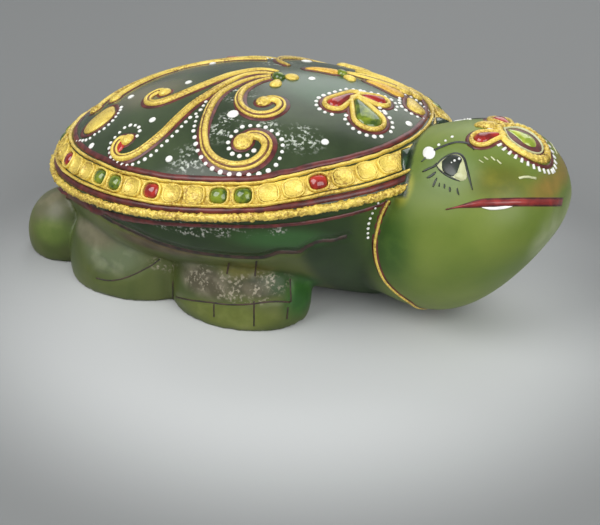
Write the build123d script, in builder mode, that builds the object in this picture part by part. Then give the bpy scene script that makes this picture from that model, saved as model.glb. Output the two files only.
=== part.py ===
from build123d import *
import os
from math import cos, radians, sin, sqrt

# Turtle figurine: one carved block of green stone, dressed with raised gilt paste and lacquer drops.
# Frame: +X is the way the head points, +Z is up, the origin is under the middle of the bounding box.
# Millimetres and degrees.

# Shell: the top of an ellipsoid whose middle lies below the rim, so the dome meets the rim at a slant
shell_length = 90.5
shell_width = 72.6
dome_rise = 17.6
dome_sink = 4.0
shell_tilt = 8.0
rim_height = 25.2

# Body under the shell, lofted from the tilted rim down to the flat base
rim_overhang = 1.5
wall_depth = 8.5
wall_draft = 2.2
keel_height = 5.5
keel_length = 78.0
keel_width = 33.0
base_length = 64.0
base_width = 12.0

# Head and neck
nose_reach = 67.6
head_root = 20.3
head_width = 39.0
head_height = 41.5
nose_round = 3.0

# Feet: rounded pads whose widest level lies pad_level above the ground
pad_level = 4.0
front_foot_length, front_foot_width, front_foot_height = 30.5, 23.5, 19.5
front_foot_x, front_foot_y = 7.3, 18.6
thigh_length, thigh_width, thigh_height = 29.0, 22.0, 21.0
thigh_x, thigh_y = -18.2, 19.0
hind_foot_length, hind_foot_width, hind_foot_height = 18.0, 17.0, 14.0
hind_foot_y = 14.0
tail_reach = 47.2

# Raised work: gilt paste, the floors pressed into it and the lacquer drops that fill them
paste_rise = 0.8
floor_rise = 0.3
drop_rise = 1.1
cord_rise = 1.0
scroll_width = 1.8
setting_width = 1.1
drop_taper = 25.0

# Rim band: a row of pressed wells above a narrow cord
cord_width = 1.6
cord_gap = 1.0
band_width = 4.2
well_count = 49
well_width = 3.9
well_height = 3.1
well_corner = 1.0
# Wells filled with lacquer, counted round the shell from the head by its left side
red_wells = (1, 8, 15, 22, 30, 36, 43)
green_wells = (4, 5, 11, 12, 18, 19, 26, 27, 33, 34, 39, 40, 47)

# Neck line, and the ornament on the brow seen from above
collar_share = 0.345
collar_width = 1.1
collar_rise = 0.5
brow_share = 0.843
brow_level_share = 0.7
brow_size = 6.3

# Shares of the head's length, height and width, from the neck to the nose:
# along, top, underside, half width
head_section_shares = (
    (0.00, 0.74, 0.10, 0.34),
    (0.22, 0.84, 0.06, 0.41),
    (0.40, 0.92, 0.035, 0.47),
    (0.57, 0.985, 0.045, 0.50),
    (0.73, 1.00, 0.15, 0.48),
    (0.86, 0.95, 0.31, 0.41),
    (0.95, 0.85, 0.46, 0.30),
    (1.00, 0.74, 0.57, 0.17),
)

# Scrolls seen from above, in shares of the shell's half length and half width
scroll_shares = {
    "right_scroll_long": (
        (0.108, 0.072), (0.050, 0.086), (-0.014, 0.060), (-0.084, -0.035), (-0.136, -0.141),
        (-0.195, -0.246), (-0.246, -0.319), (-0.294, -0.368), (-0.348, -0.377), (-0.395, -0.345),
        (-0.408, -0.285), (-0.379, -0.240), (-0.340, -0.262),
    ),
    "right_scroll_hooked": (
        (0.099, 0.033), (0.035, 0.020), (-0.021, -0.040), (-0.058, -0.170), (-0.088, -0.299),
        (-0.122, -0.412), (-0.146, -0.531), (-0.171, -0.640), (-0.216, -0.723), (-0.268, -0.766),
        (-0.328, -0.770), (-0.372, -0.745), (-0.396, -0.702), (-0.388, -0.658), (-0.345, -0.664),
    ),
    "right_scroll_great": (
        (0.103, -0.006), (0.045, -0.060), (-0.006, -0.168), (-0.034, -0.290), (-0.030, -0.406),
        (-0.006, -0.522), (0.022, -0.610), (0.051, -0.669), (0.088, -0.724), (0.143, -0.764),
        (0.207, -0.779), (0.267, -0.769), (0.320, -0.732), (0.346, -0.673), (0.336, -0.612),
        (0.292, -0.580), (0.248, -0.590), (0.230, -0.635),
    ),
    "right_scroll_small": (
        (0.117, -0.039), (0.079, -0.110), (0.055, -0.218), (0.072, -0.321), (0.123, -0.400),
        (0.193, -0.438), (0.249, -0.426), (0.282, -0.385), (0.288, -0.330), (0.262, -0.285),
        (0.220, -0.280), (0.194, -0.315),
    ),
    "left_scroll_long": (
        (-0.070, 0.360), (-0.160, 0.378), (-0.270, 0.385), (-0.380, 0.362), (-0.470, 0.320),
        (-0.540, 0.275), (-0.615, 0.215), (-0.680, 0.140), (-0.725, 0.040), (-0.748, -0.060),
        (-0.755, -0.160), (-0.750, -0.220),
    ),
    "left_scroll_hooked": (
        (-0.500, 0.225), (-0.560, 0.165), (-0.600, 0.080), (-0.630, -0.010), (-0.652, -0.100),
        (-0.660, -0.175),
    ),
    "left_scroll_great": (
        (0.103, 0.224), (0.042, 0.279), (-0.002, 0.349), (-0.024, 0.439), (-0.009, 0.551),
        (0.027, 0.656), (0.077, 0.735), (0.139, 0.777), (0.207, 0.791), (0.275, 0.779),
        (0.325, 0.738), (0.343, 0.687), (0.319, 0.642), (0.270, 0.631), (0.235, 0.658),
    ),
    "left_scroll_small": (
        (0.363, 0.303), (0.433, 0.316), (0.515, 0.340), (0.590, 0.370), (0.640, 0.375),
    ),
}
# A scroll's half width: at its root, at its fullest, and how fast it swells, then its bead's radius
swell_share = (0.2, 0.5, 0.9)
bead_share = 0.7

# Drops, petals and leaves on the shell, in the same shares: tip, middle of the round end,
# then the tip's radius and the end's radius in drop_size
drop_size = 1.3
root_gold_shares = (
    ((0.185, 0.020), (0.208, 0.015), 0.8, 1.0),
    ((0.165, -0.075), (0.170, -0.110), 0.7, 1.0),
)
root_green_shares = (((0.130, 0.010), (0.148, -0.010), 0.9, 1.0),)
flower_red_shares = (
    ((0.520, 0.010), (0.485, -0.165), 0.35, 1.2),
    ((0.550, 0.010), (0.630, 0.040), 0.35, 1.1),
)
flower_green_shares = (((0.545, -0.045), (0.655, -0.175), 0.4, 2.0),)
far_flower_turn = 180.0
far_flower_shift_share = (0.30, 0.525)
back_petal_shares = ((-0.625, -0.33), (-0.625, -0.42), 1.1, 2.6)
front_petal_shares = ((0.70, 0.28), (0.76, 0.19), 0.5, 1.5)
root_leaf_shares = ((0.20, 0.215), (0.33, 0.245), 0.4, 0.9)
curl_leaf_shares = ((0.49, 0.27), (0.64, 0.26), 0.4, 1.2)
front_scroll_shares = ((0.37, 0.43), (0.46, 0.455), (0.55, 0.47), (0.63, 0.46), (0.69, 0.41))

# Brow ornament in shares of brow_size, along the head and across it from its own middle
brow_jewel_shares = ((-0.80, 0.0), (-0.06, 0.0), 0.08, 0.78)
brow_leaf_shares = ((-0.52, 0.0), (0.12, 0.0), 0.05, 0.32)
brow_red_shares = ((-0.80, 0.35), (-1.23, 0.75), 0.05, 0.22)
brow_bead_shares = ((-1.66, 0.0), (-1.25, 0.0), 0.14, 0.24)

rim_a, rim_b = shell_length / 2, shell_width / 2
dome_c = dome_rise + dome_sink
spread = 1 / sqrt(1 - (dome_sink / dome_c) ** 2)
dome_a, dome_b = rim_a * spread, rim_b * spread
shell_x = (tail_reach - nose_reach) / 2
tilt = radians(shell_tilt)
shell_plane = Plane(
    origin=(shell_x, 0, rim_height), x_dir=(cos(tilt), 0, sin(tilt)), z_dir=(-sin(tilt), 0, cos(tilt))
)
sky = 2 * dome_c


def dome(rise):
    """The shell's dome grown outwards by rise, down to the rim."""
    with BuildPart() as solid:
        Sphere(dome_a, rotation=(0, 90, 0))
        scale(by=(1 + rise / dome_a, (dome_b + rise) / dome_a, (dome_c + rise) / dome_a), about=(0, 0, 0))
        split(bisect_by=Plane.XY.offset(dome_sink), keep=Keep.TOP)
    return solid.part.moved(Location((0, 0, -dome_sink))).moved(shell_plane.location)


def head_block(rise):
    """The head and neck grown outwards by rise."""
    with BuildPart() as solid:
        for along, top, under, half in head_section_shares:
            high, low = head_height * top + rise, head_height * under - rise
            x = shell_x + head_root + (nose_reach - head_root) * along
            with BuildSketch(Plane.YZ.offset(x)):
                with Locations((0, (high + low) / 2)):
                    Ellipse(head_width * half + rise, (high - low) / 2)
        loft()
        fillet(solid.edges().group_by(Axis.X)[-1], nose_round)
    return solid.part


def pad(x, y, length, width, height):
    """A rounded leg pad."""
    with BuildPart() as solid:
        Sphere(length / 2)
        scale(by=(1, width / length, (height - pad_level) * 2 / length), about=(0, 0, 0))
    return solid.part.moved(Location((shell_x + x, y, pad_level)))


with BuildPart() as stone_carving:
    with BuildSketch(shell_plane):
        Ellipse(rim_a - rim_overhang, rim_b - rim_overhang)
    with BuildSketch(shell_plane.offset(-wall_depth)):
        Ellipse(rim_a - rim_overhang - wall_draft, rim_b - rim_overhang - wall_draft)
    with BuildSketch(Plane.XY.offset(keel_height)):
        with Locations((shell_x, 0)):
            Ellipse(keel_length / 2, keel_width / 2)
    with BuildSketch(Plane.XY):
        with Locations((shell_x, 0)):
            Ellipse(base_length / 2, base_width / 2)
    loft()
    add(dome(0))
    add(head_block(0))
    for side in (-1, 1):
        add(pad(front_foot_x, side * front_foot_y, front_foot_length, front_foot_width, front_foot_height))
        add(pad(thigh_x, side * thigh_y, thigh_length, thigh_width, thigh_height))
        add(
            pad(
                hind_foot_length / 2 - tail_reach,
                side * hind_foot_y,
                hind_foot_length,
                hind_foot_width,
                hind_foot_height,
            )
        )
    split(bisect_by=Plane.XY, keep=Keep.TOP)

pieces = {"stone_carving": stone_carving.part}


def layer(low, high):
    """The skin on the dome between two rises."""
    with BuildPart() as skin:
        add(dome(high))
        add(dome(low), mode=Mode.SUBTRACT)
    return skin.part


paste_layer = layer(0, paste_rise)
drop_layer = layer(0, drop_rise)


def lay(outline, skin, *neighbours):
    """The part of a skin under an outline drawn from above, less the neighbours laid before."""
    with BuildPart() as piece:
        add(outline)
        extrude(amount=sky)
        add(skin, mode=Mode.INTERSECT)
        for neighbour in neighbours:
            add(neighbour, mode=Mode.SUBTRACT)
    return piece.part


def on_shell(share):
    """A place given in shares of the shell's half length and half width."""
    return (rim_a * share[0], rim_b * share[1])


def scroll(points):
    """Outline of one scroll: a line that swells from a fine root and ends in a round bead."""
    middle = Edge.make_spline([Vector(*point) for point in points])
    stations = len(points)
    left, right = [], []
    for k in range(stations + 1):
        at, way = middle.position_at(k / stations), middle.tangent_at(k / stations)
        half = scroll_width * min(swell_share[1], swell_share[0] + swell_share[2] * k / stations)
        left.append((at.X - way.Y * half, at.Y + way.X * half))
        right.append((at.X + way.Y * half, at.Y - way.X * half))
    with BuildSketch(shell_plane) as outline:
        with BuildLine():
            Spline(*left)
            Line(left[-1], right[-1])
            Spline(*right)
            Line(right[0], left[0])
        make_face()
        with Locations(points[-1]):
            Circle(scroll_width * bead_share)
    return outline.sketch


def teardrops(plane, shapes, grow=0.0):
    """Petals or drops, each from a fine tip to a round end, swollen by grow."""
    with BuildSketch(plane) as outline:
        for tip, middle, tip_radius, end_radius in shapes:
            with BuildSketch(mode=Mode.PRIVATE) as drop:
                with Locations(tip):
                    Circle(tip_radius + grow)
                with Locations(middle):
                    Circle(end_radius + grow)
                make_hull()
            add(drop.sketch)
    return outline.sketch


def shell_drops(shapes, turn=0.0, shift=(0, 0)):
    """Drop shapes given in shares, as lengths on the shell, turned about its middle and shifted."""
    placed = []
    moved_by = Vector(*on_shell(shift))
    for tip, middle, tip_share, end_share in shapes:
        ends = [Vector(*on_shell(end)).rotate(Axis.Z, turn) + moved_by for end in (tip, middle)]
        placed.append((*[(end.X, end.Y) for end in ends], drop_size * tip_share, drop_size * end_share))
    return placed


# Scrolls: each is laid after, and up against, the ones before it
laid = []
for name, shares in scroll_shares.items():
    laid.append(lay(scroll([on_shell(share) for share in shares]), paste_layer, *laid))
    pieces[name] = laid[-1]

# Drops at the root of the right spray
pieces["root_green_drop"] = lay(teardrops(shell_plane, shell_drops(root_green_shares)), drop_layer, *laid)
pieces["root_gold_drops"] = lay(
    teardrops(shell_plane, shell_drops(root_gold_shares)), paste_layer, pieces["root_green_drop"], *laid
)

# Three-petal flowers: gilt settings round two red drops and a green one
for side, turn, shift in (("right", 0, (0, 0)), ("left", far_flower_turn, far_flower_shift_share)):
    red = shell_drops(flower_red_shares, turn, shift)
    green = shell_drops(flower_green_shares, turn, shift)
    pieces[f"{side}_flower_red_drops"] = lay(teardrops(shell_plane, red), drop_layer)
    pieces[f"{side}_flower_green_drop"] = lay(
        teardrops(shell_plane, green), drop_layer, pieces[f"{side}_flower_red_drops"]
    )
    pieces[f"{side}_flower_setting"] = lay(
        teardrops(shell_plane, red + green, setting_width),
        paste_layer,
        pieces[f"{side}_flower_red_drops"],
        pieces[f"{side}_flower_green_drop"],
    )

# Single gilt petals and leaves
for name, shares in (
    ("back_petal", back_petal_shares),
    ("front_petal", front_petal_shares),
    ("root_leaf", root_leaf_shares),
    ("curl_leaf", curl_leaf_shares),
):
    pieces[name] = lay(teardrops(shell_plane, shell_drops([shares])), paste_layer, *laid)
pieces["front_scroll"] = lay(scroll([on_shell(share) for share in front_scroll_shares]), paste_layer, *laid)

# Rim cord and rim band
with BuildPart() as rim_cord:
    add(dome(cord_rise))
    split(bisect_by=shell_plane.offset(cord_width), keep=Keep.BOTTOM)
    add(stone_carving.part, mode=Mode.SUBTRACT)
pieces["rim_cord"] = rim_cord.part

band_low = cord_width + cord_gap
band_middle = band_low + band_width / 2
waist = sqrt(1 - ((band_middle + dome_sink) / dome_c) ** 2)
well_ring = Edge.make_ellipse(dome_a * waist, dome_b * waist)


def well_place(k):
    """The plane of a well's floor, square to the dome at an even step round the band."""
    at, along = well_ring.position_at(k / well_count), well_ring.tangent_at(k / well_count)
    out = Vector(at.X / dome_a**2, at.Y / dome_b**2, (band_middle + dome_sink) / dome_c**2).normalized()
    floor = Vector(at.X, at.Y, band_middle) + out * floor_rise
    square = Plane(origin=floor, x_dir=along, z_dir=out)
    return Plane(shell_plane.location * square.location)


def well_outline(place):
    """The well's outline on a plane, a rectangle with cut corners."""
    with BuildSketch(place) as outline:
        Rectangle(well_width, well_height)
        chamfer(outline.vertices(), well_corner)
    return outline.sketch


with BuildPart() as rim_band:
    add(paste_layer)
    split(bisect_by=shell_plane.offset(band_low + band_width), keep=Keep.BOTTOM)
    split(bisect_by=shell_plane.offset(band_low), keep=Keep.TOP)
    add(head_block(0), mode=Mode.SUBTRACT)
    for k in range(well_count):
        add(well_outline(well_place(k)))
    extrude(amount=2 * drop_rise, mode=Mode.SUBTRACT)
pieces["rim_band"] = rim_band.part

# Lacquer drops standing on the floors of some wells
for name, chosen in (("rim_red_drops", red_wells), ("rim_green_drops", green_wells)):
    with BuildPart() as rim_drops:
        for k in range(well_count):
            if k in chosen:
                add(well_outline(well_place(k)))
        extrude(amount=drop_rise - floor_rise, taper=drop_taper)
        add(head_block(0), mode=Mode.SUBTRACT)
    pieces[name] = rim_drops.part

# Gilt line round the neck, up to where it passes under the shell
with BuildPart() as collar_line:
    add(head_block(collar_rise))
    neck = Plane.YZ.offset(shell_x + head_root + (nose_reach - head_root) * collar_share)
    split(bisect_by=neck, keep=Keep.TOP)
    split(bisect_by=neck.offset(collar_width), keep=Keep.BOTTOM)
    add(stone_carving.part, mode=Mode.SUBTRACT)
    add(rim_cord.part, mode=Mode.SUBTRACT)
    add(rim_band.part, mode=Mode.SUBTRACT)
pieces["collar_line"] = collar_line.part

# Brow ornament: a green leaf, two red petals and a bead, with their gilt setting, laid on the brow
brow_plane = Plane(
    (shell_x + head_root + (nose_reach - head_root) * brow_share, 0, head_height * brow_level_share)
)


def brow_drops(shapes):
    """Drop shapes given in shares, as lengths on the brow."""
    return [
        ((x0 * brow_size, y0 * brow_size), (x1 * brow_size, y1 * brow_size), r0 * brow_size, r1 * brow_size)
        for (x0, y0), (x1, y1), r0, r1 in shapes
    ]


def brow_skin(rise):
    """The skin on the head up to a rise, kept to the side where the brow is."""
    with BuildPart() as skin:
        add(head_block(rise))
        split(bisect_by=brow_plane, keep=Keep.TOP)
        add(stone_carving.part, mode=Mode.SUBTRACT)
    return skin.part


far_red_shares = tuple((x, -y) for x, y in brow_red_shares[:2]) + brow_red_shares[2:]
brow_reds = brow_drops([brow_red_shares, far_red_shares])
drop_skin, paste_skin = brow_skin(drop_rise), brow_skin(paste_rise)
pieces["brow_green_leaf"] = lay(teardrops(brow_plane, brow_drops([brow_leaf_shares])), drop_skin)
pieces["brow_red_petals"] = lay(teardrops(brow_plane, brow_reds), drop_skin)
pieces["brow_bead"] = lay(teardrops(brow_plane, brow_drops([brow_bead_shares])), drop_skin)
pieces["brow_setting"] = lay(
    teardrops(brow_plane, brow_drops([brow_jewel_shares]) + brow_reds, setting_width / 2),
    paste_skin,
    *(pieces[name] for name in ("brow_green_leaf", "brow_red_petals", "brow_bead")),
)

for name, part in pieces.items():
    part.label = name
os.makedirs("parts", exist_ok=True)
for name, part in pieces.items():
    export_step(part, f"parts/{name}.step")
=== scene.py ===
# %% [markdown]
# # Turtle figurine
# A turtle carved from one block of polished green stone, its shell dressed with gilt paste, coloured lacquer
# and white dots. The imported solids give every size. Here the stone is rounded and the raised work remade
# finer. +X is the way the head points, and MM turns millimetres into metres.

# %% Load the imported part
import math
import random

import bmesh
import bpy
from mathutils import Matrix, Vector, noise
from mathutils.bvhtree import BVHTree
from mathutils.kdtree import KDTree


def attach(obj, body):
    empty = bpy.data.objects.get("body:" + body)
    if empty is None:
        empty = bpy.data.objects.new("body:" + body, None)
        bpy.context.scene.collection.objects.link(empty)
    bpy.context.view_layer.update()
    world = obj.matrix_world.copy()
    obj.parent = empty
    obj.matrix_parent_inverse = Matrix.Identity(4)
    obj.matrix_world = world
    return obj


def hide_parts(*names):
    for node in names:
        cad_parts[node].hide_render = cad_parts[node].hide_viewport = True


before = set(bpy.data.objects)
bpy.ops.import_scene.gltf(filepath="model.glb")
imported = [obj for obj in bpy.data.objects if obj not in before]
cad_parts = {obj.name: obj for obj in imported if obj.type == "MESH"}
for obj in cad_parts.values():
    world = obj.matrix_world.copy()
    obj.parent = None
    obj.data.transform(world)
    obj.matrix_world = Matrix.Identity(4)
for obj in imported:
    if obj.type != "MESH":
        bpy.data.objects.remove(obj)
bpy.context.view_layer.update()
MM = 0.001
# One seed for the sizes of dots and for the lumps of paste, so that each run gives the same figurine
SEED = 7
random.seed(SEED)
noise.seed_set(SEED)
print("nodes:", len(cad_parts))

# %% [markdown]
# ## Camera
# Turning the camera would tip the upright lines, so the lens is shifted instead. A known camera also lets a
# painted line be placed by its pixels: a ray goes through each pixel to the stone.

# %% Camera
PICTURE_WIDTH, PICTURE_HEIGHT = 600, 525
SENSOR = 36
AIM = Vector((-11.9, 0, 25.0)) * MM
AIM_PIXEL = (244.4, 151.3)
AZIMUTH, ELEVATION = math.radians(28), math.radians(24)
DISTANCE = 330 * MM
FOCAL_PIXELS = 1551

level = math.cos(ELEVATION)
toward = Vector((math.sin(AZIMUTH) * level, -math.cos(AZIMUTH) * level, math.sin(ELEVATION)))
camera = bpy.data.objects.new("camera", bpy.data.cameras.new("camera"))
bpy.context.scene.collection.objects.link(camera)
bpy.context.scene.camera = camera
camera.location = AIM + toward * DISTANCE
camera.rotation_euler = toward.to_track_quat("Z", "Y").to_euler()
camera.data.sensor_width = SENSOR
camera.data.lens = FOCAL_PIXELS * SENSOR / PICTURE_WIDTH
camera.data.shift_x = (PICTURE_WIDTH / 2 - AIM_PIXEL[0]) / PICTURE_WIDTH
camera.data.shift_y = (AIM_PIXEL[1] - PICTURE_HEIGHT / 2) / PICTURE_WIDTH
turn = camera.rotation_euler.to_matrix()


def sight(px, py):
    """The way a pixel looks, from the camera."""
    return (turn @ Vector((px - AIM_PIXEL[0], AIM_PIXEL[1] - py, -FOCAL_PIXELS))).normalized()


print("lens:", round(camera.data.lens, 1), "mm")

# %% [markdown]
# ## The stone
# Tumbling and polish round every crease. A bevel can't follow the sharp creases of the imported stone, so a
# voxel remesh turns it into small squares and a smoothing pass rounds them.

# %% Remesh the stone and round its creases
WELD = 0.001 * MM
VOXEL = 0.62 * MM
SMOOTH_PASSES = 6


def mesh_of(bm, name):
    """A mesh made from finished geometry, which is then let go."""
    mesh = bpy.data.meshes.new(name)
    bm.to_mesh(mesh)
    bm.free()
    return mesh


def new_object(name, mesh):
    obj = bpy.data.objects.new(name, mesh)
    bpy.context.scene.collection.objects.link(obj)
    return obj


block = bmesh.new()
block.from_mesh(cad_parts["stone_carving"].data)
bmesh.ops.remove_doubles(block, verts=block.verts, dist=WELD)
stone = new_object("carved_stone", mesh_of(block, "stone"))
remesh = stone.modifiers.new("even squares", "REMESH")
remesh.mode = "VOXEL"
remesh.voxel_size = VOXEL
rounding = stone.modifiers.new("rounded creases", "SMOOTH")
rounding.iterations = SMOOTH_PASSES
bpy.context.view_layer.update()
shaped = stone.evaluated_get(bpy.context.evaluated_depsgraph_get())
rounded = bpy.data.meshes.new_from_object(shaped)
stone.modifiers.clear()
stone.data = rounded
print("stone vertices:", len(stone.data.vertices))

# %% [markdown]
# ## Places on the stone
# Paint and paste lie exactly on the stone when a ray finds each of their places: one through a pixel of the
# picture, or one straight down on a point of the plan.

# %% Rays to the stone
PLAN_HEIGHT = 100


def tree_of(obj):
    return BVHTree.FromPolygons([v.co for v in obj.data.vertices], [p.vertices for p in obj.data.polygons])


def seen(px, py):
    """The place and normal of the stone where a pixel of the picture sees it."""
    return tree.ray_cast(camera.location, sight(px, py))[:2]


def above(x, y):
    """The place and normal of the stone under a point of the plan, in millimetres."""
    return tree.ray_cast(Vector((x, y, PLAN_HEIGHT)) * MM, Vector((0, 0, -1)))[:2]


def nearest(place):
    """The place and normal of the stone nearest to a place."""
    return tree.find_nearest(place)[:2]


def mirror(place):
    """The same place or way on the figurine's other side."""
    return Vector((place.x, -place.y, place.z))


tree = tree_of(stone)
print("height of the shell's middle:", round(above(AIM.x / MM, 0)[0].z / MM, 1), "mm")

# %% [markdown]
# ## Lines on the stone
# A painter's line is known by a few points that the hand joins smoothly. A curve through them is cut into
# even steps, so that paste and dots don't bunch up.

# %% Even and smooth lines
CURVE_STEPS = 12
LINE_STEP = 1.5


def even(line, step, closed=False):
    """Places at even steps along a line of points."""
    lengths = [(b - a).length for a, b in zip(line, line[1:])]
    count = max(2, round(sum(lengths) / step))
    places, k, run = [], 0, 0.0
    for j in range(count + (not closed)):
        goal = sum(lengths) * j / count
        while k < len(lengths) - 1 and run + lengths[k] < goal:
            run += lengths[k]
            k += 1
        places.append(line[k].lerp(line[k + 1], min(1, (goal - run) / max(lengths[k], 1e-9))))
    return places


def flow(points, step):
    """Places at even steps along a smooth curve through the points."""
    points = [Vector(point) for point in points]
    line = []
    for k in range(len(points) - 1):
        a, b, c, d = (points[min(max(k + j, 0), len(points) - 1)] for j in (-1, 0, 1, 2))
        for t in (s / CURVE_STEPS for s in range(CURVE_STEPS)):
            bend = (2 * a - 5 * b + 4 * c - d) * t**2 + (3 * b - a - 3 * c + d) * t**3
            line.append((2 * b + (c - a) * t + bend) / 2)
    return even(line + [points[-1]], step)


def drawn(pixels, step):
    """Places and normals on the stone along a smooth line of the picture."""
    return [seen(*pixel) for pixel in flow(pixels, step)]


def in_view(pixels):
    """Places on the stone along a smooth line of the picture, without those that miss it."""
    return [place for place, _ in drawn(pixels, LINE_STEP) if place]


def pressed(pixels):
    """The same places, each with the stone's normal."""
    return [nearest(place) for place in in_view(pixels)]


# %% [markdown]
# ## Carved lines
# A groove runs where the wall meets the feet, a curl on the thigh and lines between the toes. A boolean cut
# would leave sharp walls, so the squares near each line are pushed inwards.

# %% Where the carved lines run
WALL_GROOVE_PIXELS = (
    (92, 207), (110, 220), (135, 232), (160, 243), (185, 250), (205, 253.7), (231, 256.5), (258, 257.5),
    (269, 255.5), (280, 252), (298, 252), (306, 247), (320, 241), (333, 240), (347, 236),
)
CURL_PIXELS = (
    ((96, 278), (108, 280.5), (119, 279.5), (130, 276), (139, 272), (152, 265), (160, 259)),
    ((90, 267), (96, 261.5), (103, 262), (108, 267), (112, 270)),
    ((97, 273), (108, 275.5), (121, 274)),
)
TOE_PIXELS = (
    ((214, 304), (214, 317)), ((254, 301), (254, 326)), ((288, 307), (287, 319)), ((290, 279), (291, 302)),
    ((229, 263), (227, 274)), ((256.5, 261), (255, 276)), ((173, 281), (173, 300)),
    (
        (176, 297), (190, 300), (211, 302.5), (228, 304.5), (245, 304.5), (262, 302.5), (275, 301.5),
        (290, 302),
    ),
)
# Widths and depths of the cuts, in millimetres
GROOVE_CUT, CURL_CUT, TOE_CUT = (1.6, 0.55), (1.1, 0.35), (0.9, 0.3)


# %% Cut the carved lines
def carve(lines, width, depth):
    """Cuts lines of places into the stone and into its far side."""
    mesh = stone.data
    sides = KDTree(len(mesh.vertices))
    for vertex in mesh.vertices:
        sides.insert(vertex.co, vertex.index)
    sides.balance()
    cuts = {}
    for place in (place for line in lines for place in line):
        for side in (place, mirror(place)):
            for _, index, far in sides.find_range(side, width * MM):
                cuts[index] = max(cuts.get(index, 0), (1 - (far / (width * MM)) ** 2) ** 2)
    normals = [vertex.normal.copy() for vertex in mesh.vertices]
    for index, cut in cuts.items():
        mesh.vertices[index].co -= normals[index] * (depth * MM) * cut
    mesh.update()


groove = in_view(WALL_GROOVE_PIXELS)
curls = [in_view(pixels) for pixels in CURL_PIXELS]
toes = [in_view(pixels) for pixels in TOE_PIXELS]
carve([groove], *GROOVE_CUT)
carve(curls, *CURL_CUT)
carve(toes, *TOE_CUT)
tree = tree_of(stone)
print("carved lines:", 1 + len(curls) + len(toes))

# %% [markdown]
# ## The form of the dome
# The shell is the top of an egg, tilted nose up. Rings can be led round it by a formula.

# %% The dome's middle, half axes and directions
SHELL_X, RIM_HEIGHT = -10.2 * MM, 25.2 * MM
RIM_A, RIM_B = 45.25 * MM, 36.3 * MM
DOME_SINK, DOME_C = 4.0 * MM, 21.6 * MM
TILT = math.radians(8)
SPREAD = 1 / math.sqrt(1 - (DOME_SINK / DOME_C) ** 2)
DOME_A, DOME_B = RIM_A * SPREAD, RIM_B * SPREAD
shell_origin = Vector((SHELL_X, 0, RIM_HEIGHT))
shell_x, shell_y = Vector((math.cos(TILT), 0, math.sin(TILT))), Vector((0, 1, 0))
shell_z = Vector((-math.sin(TILT), 0, math.cos(TILT)))


def ramp(value, low, high):
    """Nought below low, one above high, and a soft rise between them."""
    t = min(1, max(0, (value - low) / (high - low)))
    return t * t * (3 - 2 * t)


def fade(value, low, high):
    """A ramp between two lengths in millimetres."""
    return ramp(value, low * MM, high * MM)


print("dome:", [round(axis / MM, 1) for axis in (DOME_A, DOME_B, DOME_C)], "mm")

# %% [markdown]
# ## Where the stone changes colour
# The tone drifts from nearly black shell and wall to a light head and olive feet. The head's light tone is
# painted light shining through its thinner stone. A wrapped picture would need unwrapping, so each vertex
# stores how much it belongs to shell, head and feet.

# %% Shares of shell, head and foot at each vertex
# How far off the dome a vertex may lie, as a share of the dome, and where the other shares fade, in mm
DOME_FADE, RIM_FADE, HEAD_FADE = (0.012, 0.03), (-1.0, 0.2), (22, 30)
UNDER_GROOVE_FADE, FRONT_FADE, KEEL_FADE = (-0.3, 0.9), (13, 16), (6, 12)

groove_line = sorted((place.x, place.z) for place in groove)


def groove_height(x):
    """Height of the groove between the wall and the feet at a place along the figurine."""
    if x <= groove_line[0][0]:
        return groove_line[0][1]
    for (x0, z0), (x1, z1) in zip(groove_line, groove_line[1:]):
        if x < x1:
            return z0 + (z1 - z0) * (x - x0) / max(x1 - x0, 1e-9)
    return groove_line[-1][1]


shares = {name: stone.data.attributes.new(name, "FLOAT", "POINT").data for name in ("shell", "head", "foot")}
for vertex in stone.data.vertices:
    place = vertex.co
    local = place - shell_origin
    x, y, z = local.dot(shell_x), local.dot(shell_y), local.dot(shell_z)
    off = math.sqrt((x / DOME_A) ** 2 + (y / DOME_B) ** 2 + ((z + DOME_SINK) / DOME_C) ** 2) - 1
    on_shell = (1 - ramp(abs(off), *DOME_FADE)) * fade(z, *RIM_FADE)
    on_head = fade(place.x, *HEAD_FADE) * (1 - on_shell)
    footing = fade(groove_height(place.x) - place.z, *UNDER_GROOVE_FADE) * (1 - fade(place.x, *FRONT_FADE))
    shares["shell"][vertex.index].value = on_shell
    shares["head"][vertex.index].value = on_head
    shares["foot"][vertex.index].value = footing * (1 - on_head) * fade(abs(place.y), *KEEL_FADE)
print("shares:", ", ".join(shares))

# %% [markdown]
# ## Finishes
# All finishes share one effect: colour and height that drift as hand work does. It is a node group, and every
# finish places it with its own size and strength.

# %% The shared effect of hand work
def add_node(owner, kind, inputs=(), **settings):
    """A shader node with its settings, each of its inputs linked to a socket or set to a value."""
    node = owner.nodes.new(f"ShaderNode{kind}")
    for name, value in settings.items():
        setattr(node, name, value)
    for name, value in dict(inputs).items():
        socket = node.inputs[name]
        if isinstance(value, bpy.types.NodeSocket):
            owner.links.new(value, socket)
        else:
            socket.default_value = (*value, 1) if socket.type == "RGBA" else value
    return node


def hand_work_group():
    """Clouds, given as a mask between two levels and as a height."""
    group = bpy.data.node_groups.new("hand work", "ShaderNodeTree")
    for name, start in (("Scale", 1.0), ("Detail", 4.0), ("Low", 0.4), ("High", 0.6)):
        socket = group.interface.new_socket(name, in_out="INPUT", socket_type="NodeSocketFloat")
        socket.default_value = start
    for name in ("Mask", "Height"):
        group.interface.new_socket(name, in_out="OUTPUT", socket_type="NodeSocketFloat")
    given = group.nodes.new("NodeGroupInput").outputs
    result = group.nodes.new("NodeGroupOutput").inputs
    spot = add_node(group, "TexCoord").outputs["Object"]
    cloud = add_node(group, "TexNoise", {"Vector": spot, "Scale": given["Scale"], "Detail": given["Detail"]})
    height = cloud.outputs["Fac"]
    limits = {"Value": height, "From Min": given["Low"], "From Max": given["High"]}
    group.links.new(add_node(group, "MapRange", limits).outputs["Result"], result["Mask"])
    group.links.new(height, result["Height"])
    return group


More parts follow.
